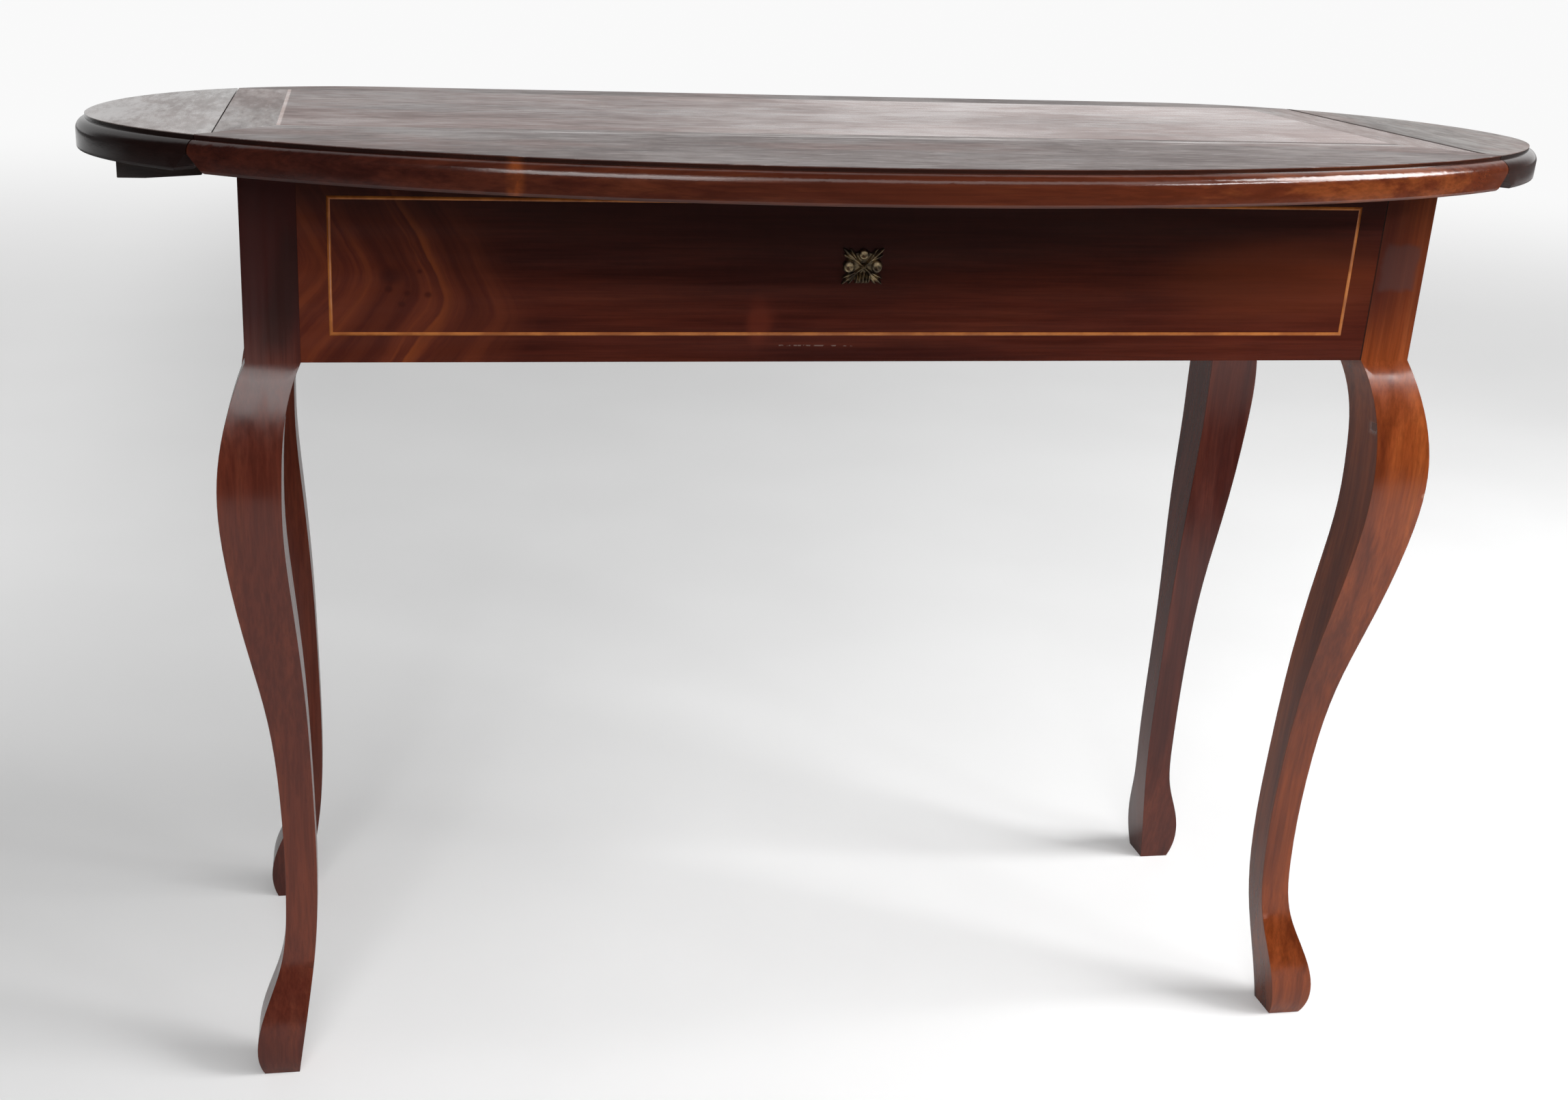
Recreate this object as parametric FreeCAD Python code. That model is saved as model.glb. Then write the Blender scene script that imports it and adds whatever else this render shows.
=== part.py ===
import FreeCAD, Part
import math
import os
from FreeCAD import Vector

# Drop-leaf console table with a bow-fronted top, a frieze on four square cabriole legs,
# a hinged leaf at each end and sliding lopers that come out under the leaves.
# Lengths are in millimetres. +X runs to the right, +Y to the back, +Z up.
# Everything is worked out about the middle of the base and moved to the origin on export,
# which lies on the floor under the middle of the top.

# Overall sizes
overall_height = 770
overall_length = 1148
front_reach = 304
back_reach = 175

# Base
base_depth = 300
post_width = 40
apron_height = 140
apron_thickness = 20
tenon_thickness = 8
tenon_shoulder = 10
tenon_setback = 6

# Room that a hanging leaf keeps to the posts, and its bearers to the end apron
post_clearance = 1.5
bearer_clearance = 1.75

# Leg: how far the knee stands out from the post
knee_projection = 22

# Top
top_thickness = 25
widest_setback = 50
lip_height = 3
ovolo_width = 7
ovolo_height = 10
bottom_round = 2.5
panel_front = 122
back_rail_width = 45
cross_rail_width = 41
tongue_length = 8
tongue_thickness = 6
cross_rail_tenon_width = 20

# Seam between the fixed top and a leaf, and the mitre of the front rail that ends at its turn
leaf_width = 106
seam_gap = 1
mitre_depth = 48

# Stringing and rosette on the front
stringing_side_margin = 21
stringing_top_margin = 19.6
stringing_bottom_margin = 20
stringing_width = 2.5
stringing_depth = 1.2
rosette_width = 31
rosette_rise = 25
rosette_plate_thickness = 2
rosette_relief = 4
rosette_pin_radius = 0.8
rosette_pin_length = 9
rosette_pin_spacing = 12
# Where the rosette's middle is, as a share of the apron's height
rosette_place_share = 0.52
# Share of the rosette's height, then shares of its width
rosette_plate_share = 0.45
rosette_boss_share = 0.14
rosette_leaf_width_share = 0.17
# Where the bosses stand, as a share of its width and of its height
rosette_ring_share = 0.33
# Shares of a corner leaf's length
leaf_root_share = 0.25
leaf_belly_share = 0.6
# Share of the relief that the corner leaves rise to
leaf_rise_share = 0.75

# Hinges
hinge_length = 50
hinge_centre = -20
hinge_spacing = 200
hinge_knuckles = 5
hinge_barrel_radius = 2.6
hinge_pin_radius = 1.2
hinge_pin_clearance = 0.05
hinge_clearance = 0.3
hinge_plate_width = 14
hinge_plate_thickness = 1.6

# Lopers, their pegs, keepers and the bearers under the leaves
loper_width = 25
loper_thickness = 15
loper_length = 245
loper_travel = 90
loper_front_setback = 19
loper_back_setback = 71
right_front_reach = 35
loper_clearance = 0.3
peg_radius = 5
peg_drop = 25
keeper_length = 30
keeper_wall = 15
bearer_thickness = 16
bearer_length = 58
bearer_setback = 15
bearer_nose = 20

# Corner blocks and buttons
block_reach_x = 60
block_reach_y = 60
block_rise = 20
block_height = 60
button_width = 30
button_length = 25
button_thickness = 18
button_tongue = 8
button_tongue_thickness = 6
button_groove_play = 0.3
button_spacing = 150

# Wood screws: radius and length
screw_radius = 2
screw_head_radius = 4
hinge_screw_radius = 1.25
hinge_screw_head_radius = 2.5
hinge_screw_length = 10
block_screw_length = 34
button_screw_length = 30
bearer_screw_length = 28
keeper_screw_grip = 9

# Where a screw stands, as a share of the piece that it holds
hinge_screw_share = 0.62
button_screw_share = 0.55

# Extra reach of every cutting tool past the surface that it cuts
overrun = 5

# Outline of the cabriole: share of its height, then share of the knee projection outside
# the post's outer face
outer_outline_shares = (
    (1.0, 0.0),
    (0.96, 0.44),
    (0.865, 1.0),
    (0.755, 0.87),
    (0.633, 0.32),
    (0.524, -0.24),
    (0.39, -0.57),
    (0.23, -0.61),
    (0.15, -0.33),
    (0.083, 0.36),
    (0.045, 0.56),
    (0.0, 0.34),
)
# Inner outline: share of its height, then share of the post width in from the outer face
inner_outline_shares = (
    (1.0, 1.0),
    (0.937, 0.7),
    (0.868, 0.607),
    (0.79, 0.6),
    (0.694, 0.712),
    (0.562, 0.87),
    (0.405, 0.962),
    (0.265, 0.985),
    (0.162, 0.887),
    (0.083, 0.707),
    (0.0, 0.525),
)

# Derived places
half_length = overall_length / 2
half_depth = base_depth / 2
top_bottom = overall_height - top_thickness
top_middle = overall_height - top_thickness / 2
widest_y = -widest_setback
front_bow_depth = front_reach - widest_setback
back_corner_radius = back_reach + widest_setback
origin_shift = (front_reach - back_reach) / 2
panel_back = back_reach - back_rail_width
seam_place = half_length - leaf_width
seam_turn = panel_front + mitre_depth
half_panel = seam_place - cross_rail_width
half_base = seam_place - top_thickness / 2 - post_clearance
frieze_bottom = top_bottom - apron_height
post_inner_x = half_base - post_width
post_inner_y = half_depth - post_width
tenon_length = post_width / 2
end_apron_outer = seam_place - top_thickness / 2 - bearer_thickness - bearer_clearance
end_apron_inner = end_apron_outer - apron_thickness
front_apron_inner = half_depth - apron_thickness
stringing_half = post_inner_x - stringing_side_margin
stringing_low = frieze_bottom + stringing_bottom_margin
stringing_high = top_bottom - stringing_top_margin
rosette_z = frieze_bottom + rosette_place_share * apron_height
block_bottom = frieze_bottom + block_rise
loper_top = top_bottom - bearer_thickness - loper_clearance
loper_bottom = loper_top - loper_thickness
loper_tip = end_apron_outer - loper_clearance
keeper_outer = end_apron_inner - loper_travel - 2 * peg_radius - 2 * loper_clearance
bearer_inner = seam_place + bearer_setback
bearer_outer = bearer_inner + bearer_length
hinge_places = (hinge_centre - hinge_spacing / 2, hinge_centre + hinge_spacing / 2)
loper_front = loper_front_setback - post_inner_y
loper_back = post_inner_y - loper_back_setback
loper_centre = (loper_front + loper_back) / 2
loper_places = {
    "left": {"front": loper_front, "back": loper_back},
    "right": {"front": loper_centre - right_front_reach, "back": loper_back},
}
sides = ("left", "right")


def box(x0, x1, y0, y1, z0, z1):
    """Block between two corners, given in any order."""
    low = Vector(min(x0, x1), min(y0, y1), min(z0, z1))
    return Part.makeBox(abs(x1 - x0), abs(y1 - y0), abs(z1 - z0), low)


def mirror_x(shape):
    return shape.mirror(Vector(0, 0, 0), Vector(1, 0, 0))


def mirror_y(shape):
    return shape.mirror(Vector(0, 0, 0), Vector(0, 1, 0))


def for_side(shape, side):
    """The shape as it is on the right, or its mirror image on the left."""
    return shape if side == "right" else mirror_x(shape)


def at_lopers(make, side):
    """What a function makes for each loper of one side, in one list."""
    shapes = []
    for y in loper_places[side].values():
        shapes += make(y)
    return [for_side(shape, side) for shape in shapes]


def prism(points, direction):
    """Straight prism on a closed polygon."""
    face = Part.Face(Part.makePolygon(list(points) + [points[0]]))
    return face.extrude(direction)


def export(name, solids):
    """Write one sub-part, moved so that the origin is under the middle of the top."""
    shape = Part.makeCompound(solids) if len(solids) > 1 else solids[0]
    shape = shape.copy()
    shape.translate(Vector(0, origin_shift, 0))
    shape.exportStep("parts/" + name + ".step")


def screw(point, direction, length, radius=screw_radius, head_radius=screw_head_radius):
    """Countersunk screw with the middle of its flat head at the point."""
    head = Part.makeCone(head_radius, radius, head_radius - radius, point, direction)
    shank = Part.makeCylinder(radius, length, point, direction)
    return head.fuse(shank).removeSplitter()


# Legs
def outline_curve(places):
    """Smooth vertical curve in the XZ plane through places given as x and z."""
    curve = Part.BSplineCurve()
    curve.interpolate([Vector(x, 0, z) for x, z in places])
    return curve.toShape()


def leg_profile():
    """Side outline of the left front leg, seen from the front."""
    outer = [
        (-half_base - knee_projection * out_share, frieze_bottom * height_share)
        for height_share, out_share in outer_outline_shares
    ]
    inner = [
        (-half_base + post_width * in_share, frieze_bottom * height_share)
        for height_share, in_share in inner_outline_shares
    ]
    top_outer = Vector(-half_base, 0, top_bottom)
    top_inner = Vector(-post_inner_x, 0, top_bottom)
    edges = [
        Part.makeLine(top_outer, Vector(outer[0][0], 0, outer[0][1])),
        outline_curve(outer),
        Part.makeLine(Vector(outer[-1][0], 0, 0), Vector(inner[-1][0], 0, 0)),
        outline_curve(inner),
        Part.makeLine(Vector(inner[0][0], 0, inner[0][1]), top_inner),
        Part.makeLine(top_inner, top_outer),
    ]
    return Part.Face(Part.Wire(Part.__sortEdges__(edges)))


def make_leg():
    """Left front leg, sawn to one outline from the front and from the side."""
    profile = leg_profile()
    reach = half_depth + knee_projection + overrun
    from_front = profile.extrude(Vector(0, reach, 0))
    from_front.translate(Vector(0, -reach, 0))
    turned = profile.copy()
    turned.rotate(Vector(0, 0, 0), Vector(0, 0, 1), 90)
    turned.translate(Vector(0, half_base - half_depth, 0))
    from_side = turned.extrude(Vector(-half_base - knee_projection - overrun, 0, 0))
    return from_front.common(from_side)


# Aprons
def long_apron():
    """Front apron with its two end tenons."""
    board = box(-post_inner_x, post_inner_x, -half_depth, -front_apron_inner, frieze_bottom, top_bottom)
    tenon = box(
        post_inner_x, post_inner_x + tenon_length,
        -half_depth + tenon_setback, -half_depth + tenon_setback + tenon_thickness,
        frieze_bottom + tenon_shoulder, top_bottom - tenon_shoulder,
    )
    return board.fuse([tenon, mirror_x(tenon)])


def end_apron():
    """Right end apron with its tenons, before the loper mortises are cut."""
    board = box(end_apron_inner, end_apron_outer, -post_inner_y, post_inner_y, frieze_bottom, top_bottom)
    tenon = box(
        end_apron_outer - tenon_setback - tenon_thickness, end_apron_outer - tenon_setback,
        -post_inner_y - tenon_length, -post_inner_y,
        frieze_bottom + tenon_shoulder, top_bottom - tenon_shoulder,
    )
    return board.fuse([tenon, mirror_y(tenon)])


# Top
def top_outline():
    """Half ellipse at the front, quarter circles at the back corners and a straight back."""
    centre = Vector(0, widest_y, 0)
    ellipse = Part.Ellipse(centre, half_length, front_bow_depth)
    front = Part.Edge(Part.ArcOfEllipse(ellipse, math.pi, 2 * math.pi))
    line_end = half_length - back_corner_radius
    middle = back_corner_radius * math.sqrt(0.5)
    right_corner = Part.Arc(
        Vector(half_length, widest_y, 0),
        Vector(line_end + middle, widest_y + middle, 0),
        Vector(line_end, back_reach, 0),
    ).toShape()
    left_corner = mirror_x(right_corner)
    back_middle = Vector(0, back_reach, 0)
    edges = [
        Part.makeLine(back_middle, Vector(-line_end, back_reach, 0)),
        left_corner,
        front,
        right_corner,
        Part.makeLine(Vector(line_end, back_reach, 0), back_middle),
    ]
    return Part.Wire(Part.__sortEdges__(edges))


def edge_cutter(profile, outline):
    """Sweep a closed profile, drawn at the middle of the back edge, along the outline."""
    sweep = Part.BRepOffsetAPI.MakePipeShell(outline)
    sweep.setBiNormalMode(Vector(0, 0, 1))
    sweep.add(profile, False, False)
    sweep.build()
    sweep.makeSolid()
    return sweep.shape()


def moulding_profile():
    """What the cutter takes off the top edge: the step of the lip and the round below it."""
    lip_y = back_reach - ovolo_width
    lip_z = overall_height - lip_height
    foot_z = lip_z - ovolo_height
    out_y = back_reach + overrun
    out_z = overall_height + overrun
    middle = Vector(0, lip_y + ovolo_width * math.sqrt(0.5), foot_z + ovolo_height * math.sqrt(0.5))
    round_edge = Part.Arc(Vector(0, lip_y, lip_z), middle, Vector(0, back_reach, foot_z)).toShape()
    return Part.Wire([
        Part.makeLine(Vector(0, lip_y, out_z), Vector(0, lip_y, lip_z)),
        round_edge,
        Part.makeLine(Vector(0, back_reach, foot_z), Vector(0, out_y, foot_z)),
        Part.makeLine(Vector(0, out_y, foot_z), Vector(0, out_y, out_z)),
        Part.makeLine(Vector(0, out_y, out_z), Vector(0, lip_y, out_z)),
    ])


def bottom_profile():
    """What the cutter takes off the bottom edge to round it."""
    inner_y = back_reach - bottom_round
    upper_z = top_bottom + bottom_round
    out_y = back_reach + overrun
    out_z = top_bottom - overrun
    offset = bottom_round * math.sqrt(0.5)
    start = Vector(0, inner_y, top_bottom)
    end = Vector(0, back_reach, upper_z)
    round_edge = Part.Arc(start, Vector(0, inner_y + offset, upper_z - offset), end).toShape()
    return Part.Wire([
        round_edge,
        Part.makeLine(end, Vector(0, out_y, upper_z)),
        Part.makeLine(Vector(0, out_y, upper_z), Vector(0, out_y, out_z)),
        Part.makeLine(Vector(0, out_y, out_z), Vector(0, inner_y, out_z)),
        Part.makeLine(Vector(0, inner_y, out_z), start),
    ])


def whole_top():
    """The top in one piece, before it is parted into boards."""
    outline = top_outline()
    blank = Part.Face(outline).extrude(Vector(0, 0, top_thickness))
    blank.translate(Vector(0, 0, top_bottom))
    return blank.cut([edge_cutter(moulding_profile(), outline), edge_cutter(bottom_profile(), outline)])


def seam_section(corner, across, stretch):
    """Closed section of the seam: a slit above mid-thickness and a wide V below it."""
    half_gap = seam_gap / 2
    foot = half_gap + top_thickness / 2 + overrun
    places = (
        (-half_gap, overall_height + overrun),
        (-half_gap, top_middle),
        (-foot, top_bottom - overrun),
        (foot, top_bottom - overrun),
        (half_gap, top_middle),
        (half_gap, overall_height + overrun),
    )
    points = [
        Vector(corner[0] + out * stretch * across[0], corner[1] + out * stretch * across[1], z)
        for out, z in places
    ]
    return Part.makePolygon(points + [points[0]])


def seam_cutter():
    """Right seam: straight from the back, then turned 45 degrees outward to the front edge."""
    past_edge = front_reach - seam_turn
    half_turn = math.radians(45) / 2
    sections = [
        seam_section((seam_place, back_reach + overrun), (1, 0), 1),
        seam_section(
            (seam_place, -seam_turn),
            (math.cos(half_turn), math.sin(half_turn)),
            1 / math.cos(half_turn),
        ),
        seam_section(
            (seam_place + past_edge, -seam_turn - past_edge),
            (math.sqrt(0.5), math.sqrt(0.5)),
            1,
        ),
    ]
    return Part.makeLoft(sections, True, True)


def hinge_pockets():
    """Room round the barrels of the right-hand hinges."""
    length = hinge_length + 2 * hinge_clearance
    radius = hinge_barrel_radius + hinge_clearance
    return [
        Part.makeCylinder(radius, length, Vector(seam_place, y - length / 2, top_middle), Vector(0, 1, 0))
        for y in hinge_places
    ]


# Hinges, built for the right seam
def bevel_place(along, out, y, leaf):
    """Point measured down the bevel face and out of the wood, on the leaf or the fixed side."""
    diagonal = math.sqrt(0.5)
    side = 1 if leaf else -1
    x = seam_place + side * (seam_gap / 2 + diagonal * along) - side * diagonal * out
    return Vector(x, y, top_middle - diagonal * along - diagonal * out)


def hinge_plate_blank(y, leaf):
    """Flat plate let into the bevel, flush with it."""
    corners = [
        bevel_place(along, out, y - hinge_length / 2, leaf)
        for along, out in (
            (0, 0),
            (hinge_plate_width, 0),
            (hinge_plate_width, -hinge_plate_thickness),
            (0, -hinge_plate_thickness),
        )
    ]
    return prism(corners, Vector(0, hinge_length, 0))


def hinge_plate(y, leaf):
    """Plate with every second knuckle rolled round the pin."""
    knuckle = hinge_length / hinge_knuckles
    start = y - hinge_length / 2
    barrel = hinge_barrel_radius
    own = []
    other = []
    for number in range(hinge_knuckles):
        place = start + number * knuckle
        if (number % 2 == 1) == leaf:
            base = Vector(seam_place, place + hinge_clearance / 2, top_middle)
            own.append(Part.makeCylinder(barrel, knuckle - hinge_clearance, base, Vector(0, 1, 0)))
        else:
            base = Vector(seam_place, place - hinge_clearance / 2, top_middle)
            other.append(
                Part.makeCylinder(barrel + hinge_clearance, knuckle + hinge_clearance, base, Vector(0, 1, 0))
            )
    bore_radius = hinge_pin_radius + hinge_pin_clearance if leaf else hinge_pin_radius
    bore = Part.makeCylinder(
        bore_radius, hinge_length + 2 * overrun, Vector(seam_place, start - overrun, top_middle), Vector(0, 1, 0)
    )
    return hinge_plate_blank(y, leaf).cut(other).fuse(own).cut(bore)


def hinge_screws(leaf):
    """Screws square to the bevel, two to each plate."""
    screws = []
    side = 1 if leaf else -1
    inward = Vector(side * math.sqrt(0.5), 0, math.sqrt(0.5))
    for y in hinge_places:
        for offset in (-hinge_length / 3, hinge_length / 3):
            head = bevel_place(hinge_plate_width * hinge_screw_share, 0, y + offset, leaf)
            screws.append(screw(head, inward, hinge_screw_length, hinge_screw_radius, hinge_screw_head_radius))
    return screws


# Lopers, built for the right side
def make_loper(y):
    bar = box(
        loper_tip - loper_length, loper_tip,
        y - loper_width / 2, y + loper_width / 2, loper_bottom, loper_top,
    )
    return bar.cut(make_peg(y))


def peg_place():
    """Where the peg stands when the loper is pushed in, just clear of the keeper."""
    return keeper_outer + peg_radius + loper_clearance


def make_peg(y):
    height = loper_thickness + peg_drop
    return Part.makeCylinder(peg_radius, height, Vector(peg_place(), y, loper_bottom - peg_drop))


def loper_passage(y, x0, x1):
    """Room for the loper to slide through, from x0 to x1."""
    play = loper_width / 2 + loper_clearance
    return box(x0, x1, y - play, y + play, loper_bottom - loper_clearance, loper_top + loper_clearance)


def apron_passages(y):
    return [loper_passage(y, end_apron_inner - overrun, end_apron_outer + overrun)]


def make_keepers(y):
    half = loper_width / 2 + keeper_wall
    block = box(
        keeper_outer - keeper_length, keeper_outer,
        y - half, y + half, loper_bottom - keeper_wall, top_bottom,
    )
    return [block.cut(loper_passage(y, keeper_outer - keeper_length - overrun, keeper_outer + overrun))]


def keeper_screws(y):
    off = loper_width / 2 + keeper_wall / 2
    bottom = loper_bottom - keeper_wall
    length = top_bottom - bottom + keeper_screw_grip
    x = keeper_outer - keeper_length / 2
    return [screw(Vector(x, y + side * off, bottom), Vector(0, 0, 1), length) for side in (-1, 1)]


def make_bearers(y):
    """Block under the leaf, with its front inner corner cut away on a slant."""
    front = y - loper_width / 2
    back = y + loper_width / 2
    bottom = top_bottom - bearer_thickness
    points = [
        Vector(bearer_outer, front, bottom),
        Vector(bearer_outer, back, bottom),
        Vector(bearer_inner, back, bottom),
        Vector(bearer_inner, y + loper_width / 4, bottom),
        Vector(bearer_outer - bearer_nose, front, bottom),
    ]
    return [prism(points, Vector(0, 0, bearer_thickness))]


def bearer_screws(y):
    middle = (bearer_inner + bearer_outer) / 2
    bottom = top_bottom - bearer_thickness
    return [
        screw(Vector(middle + offset, y + loper_width / 4, bottom), Vector(0, 0, 1), bearer_screw_length)
        for offset in (-bearer_length / 4, bearer_length / 4)
    ]


# Corner blocks, built for the right front corner
def corner_block():
    points = [
        Vector(post_inner_x, -front_apron_inner, block_bottom),
        Vector(post_inner_x - block_reach_x, -front_apron_inner, block_bottom),
        Vector(end_apron_inner, -post_inner_y + block_reach_y, block_bottom),
        Vector(end_apron_inner, -post_inner_y, block_bottom),
        Vector(post_inner_x, -post_inner_y, block_bottom),
    ]
    return prism(points, Vector(0, 0, block_height))


def corner_screws():
    """One screw into the long apron and one into the end apron."""
    middle = block_bottom + block_height / 2
    x = post_inner_x - block_reach_x / 3
    y = -post_inner_y + block_reach_y / 3
    to_front = Vector(x, -front_apron_inner + block_screw_length - apron_thickness / 2, middle - block_height / 5)
    to_end = Vector(end_apron_inner - block_screw_length + apron_thickness / 2, y, middle + block_height / 5)
    return [
        screw(to_front, Vector(0, -1, 0), block_screw_length),
        screw(to_end, Vector(1, 0, 0), block_screw_length),
    ]


# Buttons that hold the top down
def make_button():
    """Button at the middle of the front apron, with its tongue pointing to the front."""
    half = button_width / 2
    back = -front_apron_inner + button_length
    block = box(-half, half, -front_apron_inner, back, top_bottom - button_thickness, top_bottom)
    tongue_bottom = top_bottom - (button_thickness + button_tongue_thickness) / 2
    tongue = box(
        -half, half, -front_apron_inner - button_tongue, -front_apron_inner,
        tongue_bottom, tongue_bottom + button_tongue_thickness,
    )
    return block.fuse(tongue)


def button_groove():
    """Slot in the apron behind the button's tongue."""
    play = button_groove_play
    half = button_width / 2 + play
    bottom = top_bottom - (button_thickness + button_tongue_thickness) / 2
    return box(
        -half, half, -front_apron_inner - button_tongue - play, -front_apron_inner,
        bottom - play, bottom + button_tongue_thickness,
    )


def button_screw():
    place = Vector(0, -front_apron_inner + button_length * button_screw_share, top_bottom - button_thickness)
    return screw(place, Vector(0, 0, 1), button_screw_length)


def at_buttons(shape):
    """Copies of a shape made at the middle of the front apron, for every button."""
    copies = []
    for step in (-1, 0, 1):
        front = shape.copy()
        front.translate(Vector(step * button_spacing, 0, 0))
        copies.append(front)
        copies.append(mirror_y(front))
    end = shape.copy()
    end.rotate(Vector(0, 0, 0), Vector(0, 0, 1), 90)
    end.translate(Vector(end_apron_inner - front_apron_inner, loper_centre, 0))
    copies.append(end)
    copies.append(mirror_x(end))
    return copies


# Stringing and rosette
def stringing_strip(long_way):
    """Bottom strip of the inlay, or its left one, with mitred ends."""
    half = stringing_half
    low = stringing_low
    high = stringing_high
    w = stringing_width
    front = -half_depth
    if long_way:
        points = [(-half, low), (half, low), (half - w, low + w), (-half + w, low + w)]
    else:
        points = [(-half, low), (-half + w, low + w), (-half + w, high - w), (-half, high)]
    return prism([Vector(x, front, z) for x, z in points], Vector(0, stringing_depth, 0))


def stringing():
    middle = Vector(0, 0, (stringing_low + stringing_high) / 2)
    bottom = stringing_strip(True)
    left = stringing_strip(False)
    return [bottom, bottom.mirror(middle, Vector(0, 0, 1)), left, mirror_x(left)]


def pointed_leaf(angle):
    """One pointed corner leaf of the rosette, lying on its plate."""
    length = math.hypot(rosette_width, rosette_rise) / 2
    half_width = rosette_width * rosette_leaf_width_share
    root = Vector(length * leaf_root_share, 0, 0)
    belly = length * leaf_belly_share
    tip = Vector(length, 0, 0)
    left_side = Part.Arc(root, Vector(belly, half_width, 0), tip).toShape()
    right_side = Part.Arc(tip, Vector(belly, -half_width, 0), root).toShape()
    leaf = Part.Face(Part.Wire([left_side, right_side])).extrude(Vector(0, 0, rosette_relief * leaf_rise_share))
    leaf.rotate(Vector(0, 0, 0), Vector(0, 0, 1), angle)
    return leaf


def on_ring(angle):
    """Place of a boss on the oval round the middle of the rosette."""
    turn = math.radians(angle)
    return Vector(rosette_width * math.cos(turn), rosette_rise * math.sin(turn), 0) * rosette_ring_share


def make_rosette():
    """Cast mount with a leaf in each corner, three scroll bosses and a shell at the bottom."""
    plate = Part.makeCylinder(rosette_rise * rosette_plate_share, rosette_plate_thickness)
    lean = math.degrees(math.atan2(rosette_rise, rosette_width))
    pieces = [pointed_leaf(angle) for angle in (lean, 180 - lean, 180 + lean, -lean)]
    boss_radius = rosette_width * rosette_boss_share
    for angle in (0, 90, 180):
        pieces.append(Part.makeCylinder(boss_radius, rosette_relief, on_ring(angle)))
    for angle in (-126, -108, -90, -72, -54):
        pieces.append(Part.makeCylinder(boss_radius / 2, rosette_relief, on_ring(angle)))
    pieces.append(Part.makeSphere(boss_radius, Vector(0, 0, rosette_plate_thickness), Vector(0, 0, 1), 0, 90, 360))
    rosette = plate.fuse(pieces).removeSplitter()
    rosette.rotate(Vector(0, 0, 0), Vector(1, 0, 0), 90)
    rosette.translate(Vector(0, -half_depth, rosette_z))
    return rosette


def rosette_pins():
    return [
        Part.makeCylinder(
            rosette_pin_radius, rosette_pin_length, Vector(x, -half_depth, rosette_z), Vector(0, 1, 0)
        )
        for x in (-rosette_pin_spacing / 2, rosette_pin_spacing / 2)
    ]


# Base
leg = make_leg()
front_apron = long_apron()
back_apron = mirror_y(front_apron)
right_apron = end_apron()
aprons_for_mortises = [front_apron, back_apron, right_apron, mirror_x(right_apron)]
legs = {
    "leg_front_left": leg,
    "leg_front_right": mirror_x(leg),
    "leg_back_left": mirror_y(leg),
    "leg_back_right": mirror_x(mirror_y(leg)),
}
for name, shape in legs.items():
    export(name, [shape.cut(aprons_for_mortises)])

block_fronts = [corner_block(), mirror_x(corner_block())]
blocks = block_fronts + [mirror_y(block) for block in block_fronts]
block_screws = corner_screws()
block_screws += [mirror_x(one) for one in block_screws]
block_screws += [mirror_y(one) for one in block_screws]
grooves = at_buttons(button_groove())
inlay = stringing()
pins = rosette_pins()
export("apron_front", [front_apron.cut(grooves + inlay + pins + block_screws)])
export("apron_back", [back_apron.cut(grooves + block_screws)])
for side in sides:
    side_apron = for_side(right_apron, side)
    export("apron_" + side, [side_apron.cut(grooves + block_screws + at_lopers(apron_passages, side))])
export("corner_blocks", [block.cut(block_screws) for block in blocks])
export("corner_block_screws", block_screws)
export("stringing", inlay)
export("rosette", [make_rosette()])
export("rosette_pins", pins)

# Top boards
keeper_screw_set = [one for side in sides for one in at_lopers(keeper_screws, side)]
button_screw_set = at_buttons(button_screw())
fixed_hinge_screws = hinge_screws(False)
leaf_hinge_screws = hinge_screws(True)
fixed_plates = [hinge_plate_blank(y, False) for y in hinge_places]
leaf_plates = [hinge_plate_blank(y, True) for y in hinge_places]

cutter = seam_cutter()
top_pieces = whole_top().cut([cutter, mirror_x(cutter)]).Solids
top_pieces.sort(key=lambda solid: solid.CenterOfMass.x)
fixed_top = top_pieces[1]
right_leaf = top_pieces[2]

fixed_tools = hinge_pockets() + fixed_plates + fixed_hinge_screws
fixed_tools += [mirror_x(tool) for tool in fixed_tools]
fixed_top = fixed_top.cut(fixed_tools + keeper_screw_set + button_screw_set)
right_leaf = right_leaf.cut(hinge_pockets() + leaf_plates + leaf_hinge_screws)

tongue_low = top_middle - tongue_thickness / 2
tongue_high = top_middle + tongue_thickness / 2
low = top_bottom - overrun
high = overall_height + overrun
panel_block = box(-half_panel, half_panel, -panel_front, panel_back, low, high)
tongue_block = box(
    -half_panel - tongue_length, half_panel + tongue_length,
    -panel_front - tongue_length, panel_back + tongue_length, tongue_low, tongue_high,
)
panel = fixed_top.common(panel_block.fuse(tongue_block))
cross_corners = [
    Vector(half_panel, -panel_front, low),
    Vector(seam_place, -seam_turn, low),
    Vector(seam_place, panel_back, low),
    Vector(half_panel, panel_back, low),
]
cross_block = prism(cross_corners, Vector(0, 0, high - low))
rail_middle = (half_panel + tongue_length + seam_place) / 2
cross_tenons = box(
    rail_middle - cross_rail_tenon_width / 2, rail_middle + cross_rail_tenon_width / 2,
    -seam_turn - tongue_length, panel_back + tongue_length, tongue_low, tongue_high,
)
right_cross = fixed_top.common(cross_block.fuse(cross_tenons)).cut(panel)
left_cross = fixed_top.common(mirror_x(cross_block.fuse(cross_tenons))).cut(panel)
front_block = box(-half_length, half_length, -front_reach - overrun, -panel_front, low, high)
back_block = box(-half_length, half_length, panel_back, back_reach + overrun, low, high)
inside_boards = [panel, right_cross, left_cross]
export("top_panel", [panel])
export("top_cross_rail_right", [right_cross])
export("top_cross_rail_left", [left_cross])
export("top_front_rail", [fixed_top.common(front_block).cut(inside_boards)])
export("top_back_rail", [fixed_top.common(back_block).cut(inside_boards)])

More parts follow.
